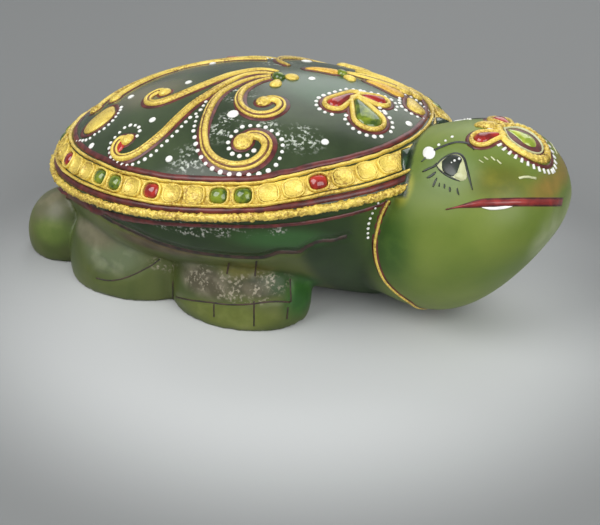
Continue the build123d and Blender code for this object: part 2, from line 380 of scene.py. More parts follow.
HAND_WORK = hand_work_group()
print("nodes of hand work:", len(HAND_WORK.nodes))


# %% A finish and its ways to mix
class Finish:
    """A material with its shader's inputs, and short ways to mix colours into it."""

    def __init__(self, name, roughness, metallic=0.0, coat=0.0):
        self.material = bpy.data.materials.new(name)
        self.material.use_nodes = True
        self.tree = self.material.node_tree
        self.shader = self.tree.nodes["Principled BSDF"].inputs
        self.shader["Roughness"].default_value = roughness
        self.shader["Metallic"].default_value = metallic
        self.shader["Coat Weight"].default_value = coat
        self.shader["Coat Roughness"].default_value = 0.06

    def add(self, kind, inputs=(), **settings):
        return add_node(self.tree, kind, inputs, **settings).outputs

    def drift(self, scale, low, high, detail):
        """The mask and height of hand work at a size of its own."""
        inputs = {"Scale": scale, "Low": low, "High": high, "Detail": detail}
        return self.add("Group", inputs, node_tree=HAND_WORK)

    def share(self, name):
        return self.add("Attribute", attribute_name=name)["Fac"]

    def mix(self, mask, low, high):
        """A colour between two others, each a colour or a socket."""
        return self.add("Mix", {"Factor": mask, "A": low, "B": high}, data_type="RGBA")["Result"]

    def product(self, first, second):
        return self.add("Math", {0: first, 1: second}, operation="MULTIPLY")["Value"]

    def spot(self, centre, radii, core):
        """One within the core share of a spot and nought outside its radii, in millimetres."""
        where = self.add("TexCoord")["Object"]
        frame_of_spot = {"Vector": where, "Location": Vector(centre) * MM, "Scale": Vector(radii) * MM}
        away = self.add("Mapping", frame_of_spot, vector_type="TEXTURE")["Vector"]
        far = self.add("VectorMath", {0: away}, operation="LENGTH")["Value"]
        limits = {"Value": far, "From Min": 1.0, "From Max": core}
        return self.add("MapRange", limits, interpolation_type="SMOOTHSTEP")["Result"]

    def colour(self, socket):
        self.tree.links.new(socket, self.shader["Base Color"])

    def roughness(self, mask, low, high):
        rough_share = self.add("MapRange", {"Value": mask, "To Min": low, "To Max": high})["Result"]
        self.tree.links.new(rough_share, self.shader["Roughness"])

    def bump(self, height, distance, strength):
        """Bumps in the shading, with their distance in millimetres."""
        inputs = {"Height": height, "Distance": distance * MM, "Strength": strength}
        self.tree.links.new(self.add("Bump", inputs)["Normal"], self.shader["Normal"])


# %% [markdown]
# ## The tones of the stone, and painted light on it
# Such stone has cloudy patches and pale scratches. Each patch is a soft spot of tone where the picture shows
# it, and scratches are fine clouds that show only inside such a spot. Not all of it is stone: the shell's
# patches are painted reflections, its pale flecks are partly painted glare, and a spot under the snout is
# painted glow.

# %% Where the tones lie
# For each spot of tone: its pixel, its radii in millimetres, and its two colours
FOOT_TONES = (
    ((112, 252), (10, 9, 7), (0.11, 0.135, 0.07), (0.2, 0.22, 0.13)),
    ((92, 234), (10, 9, 3.5), (0.12, 0.115, 0.065), (0.17, 0.155, 0.095)),
    ((48, 205), (7, 9, 6), (0.11, 0.11, 0.055), (0.17, 0.155, 0.09)),
    ((52, 232), (7, 9, 4), (0.085, 0.125, 0.022), (0.12, 0.155, 0.035)),
    ((205, 282), (10, 8, 4.5), (0.07, 0.062, 0.035), (0.19, 0.17, 0.115)),
    ((155, 246), (14, 8, 2.6), (0.07, 0.05, 0.02), (0.12, 0.09, 0.04)),
    ((248, 270), (8, 8, 3.5), (0.07, 0.07, 0.014), (0.12, 0.11, 0.025)),
    ((258, 288), (9, 8, 3), (0.038, 0.04, 0.018), (0.12, 0.105, 0.065)),
    ((284, 280), (5, 8, 4), (0.025, 0.055, 0.012), (0.08, 0.085, 0.04)),
    ((230, 318), (18, 9, 3.5), (0.1, 0.12, 0.02), (0.15, 0.17, 0.04)),
    ((305, 292), (5, 9, 7), (0.018, 0.075, 0.01), (0.035, 0.12, 0.015)),
)
HEAD_TONES_AND_GLOW = (
    ((500, 182), (10, 8, 5), (0.1, 0.115, 0.008), (0.15, 0.15, 0.012)),
    ((548, 188), (8, 9, 3.5), (0.2, 0.15, 0.025), (0.26, 0.17, 0.03)),
    ((386, 246), (9, 9, 14), (0.035, 0.085, 0.008), (0.06, 0.12, 0.014)),
    ((404, 189), (2.5, 4, 4.5), (0.3, 0.3, 0.03), (0.42, 0.38, 0.05)),
    ((450, 168), (8, 7, 5), (0.14, 0.2, 0.06), (0.19, 0.25, 0.09)),
    # A pale spot under the snout is painted glow of light through the thin stone
    ((547, 240), (5, 8, 9), (0.24, 0.29, 0.13), (0.31, 0.35, 0.19)),
)
# Two paler patches on the shell are painted reflections of the bright sky
SHELL_REFLECTIONS = (
    ((150, 92), (15, 10, 9), (0.1, 0.098, 0.055), (0.135, 0.128, 0.075)),
    ((335, 92), (17, 10, 8), (0.04, 0.085, 0.042), (0.062, 0.11, 0.06)),
)
WALL_TONES = (((285, 240), (16, 8, 3.5), (0.026, 0.085, 0.018), (0.026, 0.085, 0.018)),)
# For each scratched spot: its pixel and its radii in millimetres
FOOT_FLECKS = (
    ((205, 280), (9, 8, 4)), ((262, 284), (8, 8, 3)), ((245, 296), (9, 8, 2.5)), ((170, 262), (5, 8, 3)),
)
# The shell's pale flecks are partly dust and partly painted glare
SHELL_DUST_AND_GLARE = (
    ((225, 126), (4.4, 5.5, 7)), ((188, 160), (5.5, 4.5, 4.5)), ((300, 138), (6.5, 5, 4)),
    ((278, 63), (6, 4, 3)), ((268, 130), (4, 4, 3)),
)
WALL_FLECKS = (((185, 229), (10, 8, 1.8)), ((232, 231), (5, 6, 2.0)), ((270, 230), (4, 5, 1.5)))


def both_sides(pixel):
    """The place a pixel sees and its mirror, in millimetres."""
    place = seen(*pixel)[0] / MM
    return place, mirror(place)


def toned(finish, colour, spots, mask, core):
    """A colour with spots of other tones on both sides."""
    for pixel, radii, low, high in spots:
        tone = finish.mix(mask, low, high)
        for centre in both_sides(pixel):
            colour = finish.mix(finish.spot(centre, radii, core), colour, tone)
    return colour


def flecked(finish, colour, spots, mask, core, pale):
    """A colour with pale flecks inside spots on both sides."""
    for pixel, radii in spots:
        for centre in both_sides(pixel):
            flecks = finish.product(finish.spot(centre, radii, core), mask)
            colour = finish.mix(flecks, colour, pale)
    return colour


# %% Polished stone
STONE_COLOURS = {
    "wall": ((0.006, 0.018, 0.002), (0.018, 0.042, 0.006)),
    "shell": ((0.022, 0.036, 0.014), (0.05, 0.072, 0.03)),
    # The head's lighter colours are painted light shining through its thinner stone
    "head": ((0.105, 0.157, 0.021), (0.16, 0.208, 0.035)),
    "foot": ((0.05, 0.07, 0.014), (0.1, 0.115, 0.03)),
}
# The shell's pale colour stands partly for dust and partly for painted glare
FOOT_PALE, SHELL_DUST_AND_GLARE_PALE, WALL_PALE = (0.28, 0.25, 0.18), (0.48, 0.51, 0.44), (0.34, 0.34, 0.3)


def stone_finish():
    """Cloudy green stone whose tone drifts from shell to head to feet, with painted light: a glow on the head,
    and reflections and glare on the shell.
    """
    finish = Finish("polished stone", roughness=0.3)
    clouds = finish.drift(scale=70, low=0.35, high=0.68, detail=6)
    veins = finish.drift(scale=260, low=0.45, high=0.7, detail=8)
    scratches = finish.drift(scale=1500, low=0.5, high=0.6, detail=8)
    worn = finish.drift(scale=420, low=0.44, high=0.56, detail=3)
    scratched = finish.product(scratches["Mask"], worn["Mask"])
    colours = {part: finish.mix(clouds["Mask"], *pair) for part, pair in STONE_COLOURS.items()}
    foot = toned(finish, colours["foot"], FOOT_TONES, veins["Mask"], core=0.35)
    foot = flecked(finish, foot, FOOT_FLECKS, scratched, 0.4, FOOT_PALE)
    head = toned(finish, colours["head"], HEAD_TONES_AND_GLOW, veins["Mask"], core=0.2)
    shell = toned(finish, colours["shell"], SHELL_REFLECTIONS, clouds["Mask"], core=0.2)
    shell = flecked(finish, shell, SHELL_DUST_AND_GLARE, scratched, 0.3, SHELL_DUST_AND_GLARE_PALE)
    body = toned(finish, colours["wall"], WALL_TONES, veins["Mask"], core=0.3)
    body = flecked(finish, body, WALL_FLECKS, scratched, 0.4, WALL_PALE)
    for part, colour in (("foot", foot), ("head", head), ("shell", shell)):
        body = finish.mix(finish.share(part), body, colour)
    finish.colour(body)
    finish.roughness(finish.share("shell"), 0.42, 0.22)
    finish.bump(veins["Height"], distance=0.05, strength=0.5)
    finish.shader["Specular IOR Level"].default_value = 0.35
    finish.shader["Subsurface Weight"].default_value = 0.12
    finish.shader["Subsurface Radius"].default_value = (0.6, 1.0, 0.3)
    finish.shader["Subsurface Scale"].default_value = 2.0 * MM
    return finish.material


stone.data.materials.clear()
stone.data.materials.append(stone_finish())
stone.data.shade_smooth()
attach(stone, "root")
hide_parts("stone_carving")
print("spots of tone:", len(FOOT_TONES + HEAD_TONES_AND_GLOW + SHELL_REFLECTIONS + WALL_TONES))

# %% [markdown]
# ## Gilt, lacquer and paint
# Gold paint over chalky paste has its deep colour in the hollows of its fine grain, as painted shade. Lacquer
# pools deeper in places, and paint is the same without the gloss. So two recipes make every colour.

# %% Gilt, lacquer and paint
def gilt_finish(name, bright, deep):
    """Paste under gold paint."""
    finish = Finish(name, roughness=0.34, metallic=0.2, coat=0.2)
    thin = finish.drift(scale=2200, low=0.38, high=0.62, detail=5)
    broad = finish.drift(scale=160, low=0.4, high=0.65, detail=3)
    # The deep colour lies where the fine noise is low, in the hollows of its bump: painted shade
    gold = finish.mix(thin["Mask"], deep, bright)
    finish.colour(finish.mix(broad["Mask"], gold, bright))
    finish.roughness(thin["Mask"], 0.45, 0.25)
    finish.bump(thin["Height"], distance=0.22, strength=1.0)
    return finish.material


def lacquer_finish(name, deep, bright, roughness=0.12, coat=0.4):
    """Coloured lacquer, or paint where it is rough and has little coat."""
    finish = Finish(name, roughness=roughness, coat=coat)
    pool = finish.drift(scale=500, low=0.4, high=0.62, detail=3)
    finish.colour(finish.mix(pool["Mask"], deep, bright))
    finish.bump(pool["Height"], distance=0.08, strength=0.5)
    return finish.material


# The second colour of each gilt is painted shade in the hollows of its grain
GILT = gilt_finish("gilt paste", (0.79, 0.6, 0.11), (0.33, 0.185, 0.02))
AMBER = gilt_finish("amber gilt", (0.72, 0.44, 0.05), (0.42, 0.2, 0.02))
RED = lacquer_finish("red lacquer", (0.17, 0.006, 0.004), (0.42, 0.024, 0.013))
GREEN = lacquer_finish("green lacquer", (0.035, 0.075, 0.004), (0.19, 0.25, 0.01))
NIGHT = lacquer_finish("night green lacquer", (0.006, 0.016, 0.008), (0.02, 0.05, 0.018))
LEAF = lacquer_finish("leaf lacquer", (0.22, 0.3, 0.015), (0.45, 0.5, 0.06), coat=0.8)
MAROON = lacquer_finish("maroon paint", (0.055, 0.006, 0.006), (0.13, 0.018, 0.014), 0.4, 0.1)
WHITE = lacquer_finish("white paint", (0.72, 0.72, 0.68), (0.84, 0.84, 0.8), 0.45, 0.1)
BLACK = lacquer_finish("black paint", (0.008, 0.011, 0.007), (0.02, 0.03, 0.018), 0.35, 0.1)
CREAM = lacquer_finish("cream paint", (0.43, 0.44, 0.23), (0.56, 0.57, 0.34), 0.4, 0.2)
MOUTH = lacquer_finish("mouth paint", (0.17, 0.012, 0.01), (0.28, 0.022, 0.016), 0.35, 0.2)
# Brown for painted shade in the scrolls' grooves and at the foot of the wells' walls
SHADE_BROWN = lacquer_finish("painted shade brown", (0.1, 0.035, 0.012), (0.2, 0.08, 0.02), 0.5, 0.0)
DARK = lacquer_finish("dark crack", (0.012, 0.008, 0.004), (0.045, 0.02, 0.012), 0.5, 0.0)
print("materials:", len(bpy.data.materials))

# %% [markdown]
# ## Lines of paste and paint
# Paste is squeezed out as a round line and paint is brushed on flat. A bevelled curve would tip over where
# the stone bends, so a section is extruded along places on the stone, square to it.

# %% Sections and lines
FLAT_SECTION = ((-1, -0.5), (-0.9, 0.8), (0, 1), (0.9, 0.8), (1, -0.5))
ROUND_SECTION = ((-1, -0.4), (-0.92, 0.3), (-0.6, 0.8), (0, 1), (0.6, 0.8), (0.92, 0.3), (1, -0.4))
RIDGED_SECTION = (
    (-1, -0.4), (-0.95, 0.35), (-0.7, 0.85), (-0.3, 1), (0.05, 0.88), (0.28, 0.42), (0.45, 0.5),
    (0.7, 0.8), (0.93, 0.45), (1, -0.4),
)
# The strip of painted shade, in brown, in the groove of the ridged section
GROOVE_SHADE_SECTION = ((0.1, 0.5), (0.16, 0.84), (0.46, 0.6), (0.5, 0.3))


def sweep(stations, section, half, rise, closed=False):
    """A line with a section carried along its stations, each a place and a normal. Half and rise in mm."""
    bm = bmesh.new()
    made = bmesh.ops.create_circle(bm, cap_ends=True, segments=len(section), radius=1)
    face = made["verts"][0].link_faces[0]
    first = list(face.verts)
    count = len(stations)
    for k, (place, normal) in enumerate(stations):
        if k:
            face = bmesh.ops.extrude_discrete_faces(bm, faces=[face])["faces"][0]
        before = stations[k - 1 if closed else max(k - 1, 0)][0]
        after = stations[(k + 1) % count if closed else min(k + 1, count - 1)][0]
        across = (after - before).cross(normal).normalized()
        share = k / (count - 1)
        width = half(share) if callable(half) else half
        height = rise(share) if callable(rise) else rise
        for vert, (a, h) in zip(face.verts, section):
            vert.co = place + across * (a * width * MM) + normal * (h * height * MM)
    # Each edge is met twice, and a dict keeps them in the order in which they were met
    rim = [edge for vert in first for edge in vert.link_edges if edge.other_vert(vert) in first]
    rim = list(dict.fromkeys(rim))
    if closed:
        last = list(face.edges)
        bmesh.ops.delete(bm, geom=[face], context="FACES_ONLY")
        bmesh.ops.bridge_loops(bm, edges=rim + last)
    else:
        bmesh.ops.holes_fill(bm, edges=rim, sides=0)
    bmesh.ops.recalc_face_normals(bm, faces=bm.faces)
    return bm


def rough(bm, amount, size, seed):
    """Lumps from hand work, in millimetres."""
    for vert in bm.verts:
        vert.co += noise.noise_vector(vert.co / (size * MM) + Vector((seed, 0, 0))) * amount * MM
    return bm


# %% [markdown]
# ## Mounds and dots
# A drop of lacquer is a low mound: a sphere pressed flat, its rim led along an outline.

# %% Mounds and dots
DOT_RADIUS, DOT_STEP, DOT_RISE = 0.47, 1.45, 0.28


def mound(outline, centre, rise, place, rings=5, sunk=0.35, hollow=None):
    """A low mound over an outline, or a dish where hollow gives the share of the rise left in its middle."""
    bm = bmesh.new()
    count = len(outline)
    bmesh.ops.create_uvsphere(bm, u_segments=count, v_segments=2 * rings, radius=1)
    for vert in bm.verts:
        reach = min(1, math.hypot(vert.co.x, vert.co.y))
        k = round(math.atan2(vert.co.y, vert.co.x) / math.tau * count) % count
        here, normal = place(*Vector(centre).lerp(outline[k], reach))
        lift = vert.co.z if vert.co.z > 0 else sunk * vert.co.z
        if hollow is not None and vert.co.z > -0.01:
            lift = hollow + (1 - hollow) * reach**2
        vert.co = here + normal * (lift * rise * MM)
    bmesh.ops.recalc_face_normals(bm, faces=bm.faces)
    return bm


def patch(place, normal, across=None, start=3):
    """Finds places on the stone near a place, by steps in mm along two ways square to its normal."""
    if across is None:
        across = normal.orthogonal().normalized()
    upward = normal.cross(across).normalized()

    def near(u, v):
        here, way = tree.ray_cast(place + (across * u + upward * v + normal * start) * MM, -normal)[:2]
        return (here, way) if here else (place, normal)

    return near


def circle(centre, radius, count=8):
    steps = (math.tau * k / count for k in range(count))
    return [Vector(centre) + Vector((math.cos(a), math.sin(a))) * radius for a in steps]


def dot(place, radius, rise=DOT_RISE, count=8):
    """A round dot of paint on the stone nearest to a place."""
    return mound(circle((0, 0), radius, count), (0, 0), rise, patch(*nearest(place)), rings=3)


def dots(places, radius=DOT_RADIUS, step=DOT_STEP):
    """Dots at even steps along a line of places, each a little different, in millimetres."""
    return [dot(place, radius * random.uniform(0.8, 1.12)) for place in even(places, step * MM)[:-1]]


# %% [markdown]
# ## Outlines
# Drops and petals share one outline, the line round a fine tip and a round end. Eyes and other odd shapes are
# smooth closed lines through a few points.

# %% Outlines on the plan or on the picture
TEARDROP_STEPS = 96


def teardrop(tip, end, tip_radius, end_radius, step=0.7):
    """The outline round two circles of the plan: a fine tip and a round end."""
    rounds = ((Vector(tip), tip_radius), (Vector(end), end_radius))
    outline = []
    for way in circle((0, 0), 1, TEARDROP_STEPS):
        middle, radius = max(rounds, key=lambda r: r[0].dot(way) + r[1])
        outline.append(middle + way * radius)
    return even(outline + outline[:1], step, closed=True)


def outline_of(pixels, count=28):
    """A smooth closed line through pixels of the picture."""
    line = flow(list(pixels) + [pixels[0]], 1.0)
    length = sum((b - a).length for a, b in zip(line, line[1:]))
    return even(line, length / count, closed=True)


def middle_of(outline):
    return sum(outline, Vector((0, 0))) / len(outline)


def grown(outline, amount):
    """An outline moved outwards, for the setting round a drop."""
    count = len(outline)
    moved = []
    for k in range(count):
        along = (outline[(k + 1) % count] - outline[k - 1]).normalized()
        moved.append(outline[k] + Vector((along.y, -along.x)) * amount)
    return moved


# %% [markdown]
# ## Pieces that ride on the figurine
# Lines and mounds of one kind and colour become one piece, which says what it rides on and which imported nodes
# it stands in for. Paint on head and wall is made on the near side and mirrored.

# %% Pieces
def piece(name, parts, material, replaces=(), mirrored=False):
    """Joins finished parts to one piece that rides on the figurine."""
    bm = bmesh.new()
    for part in parts:
        mesh = mesh_of(part, "part")
        bm.from_mesh(mesh)
        bpy.data.meshes.remove(mesh)
    if mirrored:
        bmesh.ops.mirror(bm, geom=bm.verts[:] + bm.edges[:] + bm.faces[:], axis="Y", merge_dist=-1)
        bmesh.ops.recalc_face_normals(bm, faces=bm.faces)
    mesh = mesh_of(bm, name)
    mesh.materials.append(material)
    mesh.shade_smooth()
    obj = new_object(name, mesh)
    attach(obj, "root")
    if replaces:
        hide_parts(*replaces)
    print(name, len(mesh.polygons))


# Paint that belongs to the whole figurine is gathered here, and becomes a piece at the end
white_parts, maroon_parts = [], []

# %% [markdown]
# ## The sprays of scrolls
# Gilt scrolls swell from a hair-thin start and curl round into a bead, with maroon under them a little to one
# side. A route is a few points, as shares of the shell's half length and half width.

# %% Routes and looks of the scrolls
SCROLLS = {
    "right_scroll_long": (
        (0.108, 0.072), (0.05, 0.086), (-0.014, 0.06), (-0.084, -0.035), (-0.136, -0.141), (-0.195, -0.246),
        (-0.246, -0.319), (-0.294, -0.368), (-0.348, -0.377), (-0.395, -0.345), (-0.408, -0.285),
        (-0.379, -0.24), (-0.34, -0.262),
    ),
    "right_scroll_hooked": (
        (0.099, 0.033), (0.035, 0.02), (-0.021, -0.04), (-0.058, -0.17), (-0.088, -0.299), (-0.122, -0.412),
        (-0.146, -0.531), (-0.171, -0.64), (-0.216, -0.723), (-0.268, -0.766), (-0.328, -0.77),
        (-0.372, -0.745), (-0.396, -0.702), (-0.388, -0.658), (-0.345, -0.664),
    ),
    "right_scroll_great": (
        (0.103, -0.006), (0.045, -0.06), (-0.006, -0.168), (-0.034, -0.29), (-0.03, -0.406),
        (-0.006, -0.522), (0.022, -0.61), (0.051, -0.669), (0.088, -0.724), (0.143, -0.764),
        (0.207, -0.779), (0.267, -0.769), (0.32, -0.732), (0.346, -0.673), (0.336, -0.612), (0.292, -0.58),
        (0.248, -0.59), (0.23, -0.635),
    ),
    "right_scroll_small": (
        (0.117, -0.039), (0.079, -0.11), (0.055, -0.218), (0.072, -0.321), (0.123, -0.4), (0.193, -0.438),
        (0.249, -0.426), (0.282, -0.385), (0.288, -0.33), (0.262, -0.285), (0.22, -0.28), (0.194, -0.315),
    ),
    "left_scroll_long": (
        (-0.07, 0.36), (-0.16, 0.378), (-0.27, 0.385), (-0.38, 0.362), (-0.47, 0.32), (-0.54, 0.275),
        (-0.615, 0.215), (-0.68, 0.14), (-0.725, 0.04), (-0.748, -0.06), (-0.755, -0.16), (-0.75, -0.22),
    ),
    "left_scroll_hooked": (
        (-0.5, 0.225), (-0.56, 0.165), (-0.6, 0.08), (-0.63, -0.01), (-0.652, -0.1), (-0.66, -0.175),
    ),
    "left_scroll_great": (
        (0.103, 0.224), (0.042, 0.279), (-0.002, 0.349), (-0.024, 0.439), (-0.009, 0.551), (0.027, 0.656),
        (0.077, 0.735), (0.139, 0.777), (0.207, 0.791), (0.275, 0.779), (0.325, 0.738), (0.343, 0.687),
        (0.319, 0.642), (0.27, 0.631), (0.235, 0.658),
    ),
    "left_scroll_small": ((0.363, 0.303), (0.433, 0.316), (0.515, 0.34), (0.59, 0.37), (0.64, 0.375)),
}
# For each kind: the bead's radius, the swelling towards the end, the maroon's shift at start and end, in mm
SCROLL_LOOKS = {
    "long": (1.35, 0.0, 0.3, 0.3), "hooked": (1.3, 0.0, 0.3, 0.3),
    "great": (2.0, 0.3, 0.25, -0.45), "small": (1.6, 0.15, 0.3, -0.3),
}
SCROLL_WIDTH, SCROLL_STEP = 1.8, 0.45
PASTE_RISE, DROP_RISE, PAINT_RISE = 0.8, 1.1, 0.12
BEAD_SPOTS = 14


def plan(share):
    """A place of the plan, in millimetres, from shares of the shell."""
    return Vector(((SHELL_X + RIM_A * share[0] * math.cos(TILT)) / MM, RIM_B * share[1] / MM))


def laid(line):
    """Places and normals on the stone under a line of the plan."""
    return [above(*spot) for spot in line]


def route(turns):
    """A smooth line of the plan through places given as shares of the shell."""
    return flow([plan(share) for share in turns], SCROLL_STEP)


def scroll_half(share, swelling=0.0):
    """Half a scroll's width along it, in millimetres."""
    return SCROLL_WIDTH * min(0.5, 0.2 + 0.9 * share) * (1 + swelling * ramp(share, 0.45, 0.8))


def scroll_rise(share):
    return PASTE_RISE * min(1, 0.55 + 1.5 * share)


# %% Scrolls with their beads, grooves and maroon
MAROON_MARGIN = 0.5


def shifted(line, start_shift, end_shift):
    """A line of the plan moved to its left by shifts that change over from start to end, in millimetres."""
    moved = []
    for k, spot in enumerate(line):
        along = (line[min(k + 1, len(line) - 1)] - line[max(k - 1, 0)]).normalized()
        shift = start_shift + (end_shift - start_shift) * ramp(k / len(line), 0.35, 0.6)
        moved.append(spot + Vector((-along.y, along.x)) * shift)
    return moved


groove_shade_parts = []
for name, turns in SCROLLS.items():
    bead_radius, swelling, start_shift, end_shift = SCROLL_LOOKS[name.split("_")[-1]]
    line = route(turns)
    stations = laid(line)

    def half(share, swelling=swelling):
        return scroll_half(share, swelling)

    bead = mound(circle(line[-1], bead_radius, BEAD_SPOTS), line[-1], 1.2 * PASTE_RISE, above)
    piece(f"{name}_gilt", [sweep(stations, RIDGED_SECTION, half, scroll_rise), bead], GILT, [name])
    # A brown strip in the scroll's groove is painted shade
    groove_shade_parts.append(sweep(stations[3:-4], GROOVE_SHADE_SECTION, half, scroll_rise))
    under = laid(shifted(line, start_shift, end_shift))
    maroon_parts.append(sweep(under, FLAT_SECTION, lambda share: half(share) + MAROON_MARGIN, PAINT_RISE))
    wider = circle(line[-1], bead_radius + MAROON_MARGIN, BEAD_SPOTS)
    maroon_parts.append(mound(wider, line[-1], 0.14, above))
piece("scroll_groove_shade", groove_shade_parts, SHADE_BROWN)

# %% [markdown]
# ## Rows of dots beside the scrolls
# White dots, set with the end of a stick, follow two of the scrolls. They keep their distance only roughly,
# so each row is led through pixels of the picture.

# %% Dots beside the scrolls
HOOKED_DOTS = (
    (206, 102), (199, 112), (190.6, 117.3), (181, 127.4), (171, 137.5), (161, 146.6), (151.9, 154.9),
    (140.3, 161.8), (132.9, 164.5), (124.6, 165.7), (115.5, 161.5), (110.5, 156), (109.5, 148),
    (112, 141.4), (121, 131.4), (127, 126.3), (132, 125.4), (137, 126), (139.7, 128.7), (139, 133.4),
    (133, 141.4),
)
CURL_DOTS = (
    (276, 165), (279, 160), (281.7, 153.6), (282.7, 145.5), (282.4, 140.5), (277.4, 134), (272, 131),
    (266, 127.5), (257.6, 125.8), (250.6, 125.8), (242.6, 126.8), (236.5, 131), (232.5, 135), (228.5, 141),
    (228.5, 147), (231, 153), (238.5, 156), (247, 155.5), (254.6, 150), (257.3, 144.5),
)
GREAT_DOTS = (
    (193.5, 131), (195.7, 142), (196.3, 148), (199.7, 154), (202.4, 159.3), (207, 165), (211.7, 168.3),
    (220.8, 172.3), (229, 174.3), (239.5, 174.8), (248.6, 175), (257.3, 174.5), (265, 171.7), (272, 169.3),
    (276, 165),
)
ROOT_DOTS = ((197, 117), (195, 124), (193.5, 131))
for pixels, radius, step in (
    (HOOKED_DOTS, DOT_RADIUS, DOT_STEP), (CURL_DOTS, 0.5, 1.6), (GREAT_DOTS, 0.58, 2), (ROOT_DOTS, 0.4, 1.3)
):
    white_parts += dots(in_view(pixels), radius, step)
print("dots beside the scrolls:", len(white_parts))

# %% [markdown]
# ## Flowers
# Two red petals and a green one, each a drop of lacquer in a gilt setting: a ridge carried round the same
# outline. White dots go round it. The far flower is the same one turned.

# %% Flowers
DROP = 1.3
FLOWER_RED = (((0.52, 0.01), (0.485, -0.165), 0.35, 1.2), ((0.55, 0.01), (0.63, 0.04), 0.35, 1.1))
FLOWER_GREEN = (((0.545, -0.045), (0.655, -0.175), 0.4, 2.0),)
FAR_FLOWER_SHIFT = (0.3, 0.525)
SETTING_HALF, SETTING_OUT = 0.55, 0.45
FLOWER_MAROON_OUT, FLOWER_DOTS_OUT, FLOWER_DOTS_GAP = 1.25, 2.2, 2.0


def drop_outlines(shapes, turned=False):
    """Outlines and middles of drops given in shares, turned about the shell's middle where asked."""
    made = []
    for tip, end, tip_size, end_size in shapes:
        if turned:
            tip, end = ((FAR_FLOWER_SHIFT[0] - p[0], FAR_FLOWER_SHIFT[1] - p[1]) for p in (tip, end))
        made.append((teardrop(plan(tip), plan(end), DROP * tip_size, DROP * end_size), plan(end)))
    return made


def drops(shapes, rise, turned=False):
    return [mound(outline, middle, rise, above) for outline, middle in drop_outlines(shapes, turned)]


def ring(outline, half=SETTING_HALF, rise=PASTE_RISE, section=ROUND_SECTION):
    return sweep(laid(outline), section, half, rise, closed=True)


def maroon_ring(outline, half=0.45, rise=PAINT_RISE):
    maroon_parts.append(ring(outline, half, rise, FLAT_SECTION))


def on_plan(line):
    """Places on the stone under a line of the plan."""
    return [place for place, _ in laid(line)]


for side, turned in (("right", False), ("left", True)):
    reds, greens = drops(FLOWER_RED, DROP_RISE, turned), drops(FLOWER_GREEN, DROP_RISE, turned)
    piece(f"{side}_flower_reds", reds, RED, [f"{side}_flower_red_drops"])
    piece(f"{side}_flower_green", greens, GREEN, [f"{side}_flower_green_drop"])
    outlines = [outline for outline, _ in drop_outlines(FLOWER_RED + FLOWER_GREEN, turned)]
    settings = [ring(grown(outline, SETTING_OUT)) for outline in outlines]
    piece(f"{side}_flower_gilt", settings, GILT, [f"{side}_flower_setting"])
    for outline in outlines:
        maroon_ring(grown(outline, FLOWER_MAROON_OUT), 0.5, 0.1)
        others = [spot for other in outlines if other is not outline for spot in other]
        around = grown(outline, FLOWER_DOTS_OUT)
        clear = [p for p in around if min((p - q).length for q in others) > FLOWER_DOTS_GAP]
        white_parts += dots(on_plan(clear), 0.48, 1.5)

# %% [markdown]
# ## Drops, petals and leaves
# Small drops sit where the sprays start. Single petals and leaves are gilt mounds with a maroon line round
# them, by the same outline.

# %% Drops at the roots of the sprays
ROOT_GOLD = (((0.185, 0.02), (0.208, 0.015), 0.8, 1.0), ((0.165, -0.075), (0.17, -0.11), 0.7, 1.0))
ROOT_GREEN = (((0.13, 0.01), (0.148, -0.01), 0.9, 1.0),)
FAR_GOLD = (((0.4, 0.225), (0.43, 0.205), 0.6, 0.8),)
FAR_GREEN = (((0.345, 0.265), (0.37, 0.25), 0.6, 0.8),)
piece("root_green_mound", drops(ROOT_GREEN, DROP_RISE), GREEN, ["root_green_drop"])
piece("root_gold_mounds", drops(ROOT_GOLD, PASTE_RISE), GILT, ["root_gold_drops"])
piece("far_green_mound", drops(FAR_GREEN, DROP_RISE), GREEN)
piece("far_gold_mound", drops(FAR_GOLD, PASTE_RISE), GILT)

# %% Single petals and leaves
PETALS = {
    "back_petal": (((-0.625, -0.33), (-0.625, -0.42), 1.1, 2.6), GILT),
    "front_petal": (((0.7, 0.28), (0.76, 0.19), 0.5, 1.5), GILT),
    "root_leaf": (((0.2, 0.215), (0.33, 0.245), 0.4, 0.9), AMBER),
    "curl_leaf": (((0.49, 0.27), (0.64, 0.26), 0.4, 1.2), AMBER),
}
BACK_DOTS = (
    (77.4, 141.4), (83.4, 140.7), (88.8, 139.4), (94.8, 134.7), (101.5, 130.7), (106.9, 126.7),
    (113.6, 120), (117.6, 114.6), (120.9, 109.3), (121.6, 105.3),
)
for name, (shape, material) in PETALS.items():
    piece(f"{name}_mound", drops([shape], PASTE_RISE), material, [name])
    maroon_ring(grown(drop_outlines([shape])[0][0], MAROON_MARGIN))
front_outline = drop_outlines([PETALS["front_petal"][0]])[0][0]
white_parts += dots(in_view(BACK_DOTS), 0.42, 1.25) + dots(on_plan(grown(front_outline, 1.5)), 0.42, 1.35)

# %% The red filling of the hook and the low front scroll
HOOK_FILL_PIXELS = ((116, 149), (117.5, 142), (122, 137.5), (126, 139), (125, 145), (121, 151), (117, 153))
FRONT_SCROLL = ((0.37, 0.43), (0.46, 0.455), (0.55, 0.47), (0.63, 0.46), (0.69, 0.41))
fill = outline_of(HOOK_FILL_PIXELS, 16)
piece("hook_fill", [mound(fill, middle_of(fill), 0.4, seen)], RED)
line = route(FRONT_SCROLL)
body = sweep(laid(line), RIDGED_SECTION, scroll_half, PASTE_RISE)
bead = mound(circle(line[-1], 0.7 * SCROLL_WIDTH, BEAD_SPOTS), line[-1], PASTE_RISE, above)
piece("front_scroll_gilt", [body, bead], GILT, ["front_scroll"])

# %% [markdown]
# ## Large dots scattered on the shell
# Those on the near side are mirrored, except near the crest, where a dot and its image would stand side by
# side.

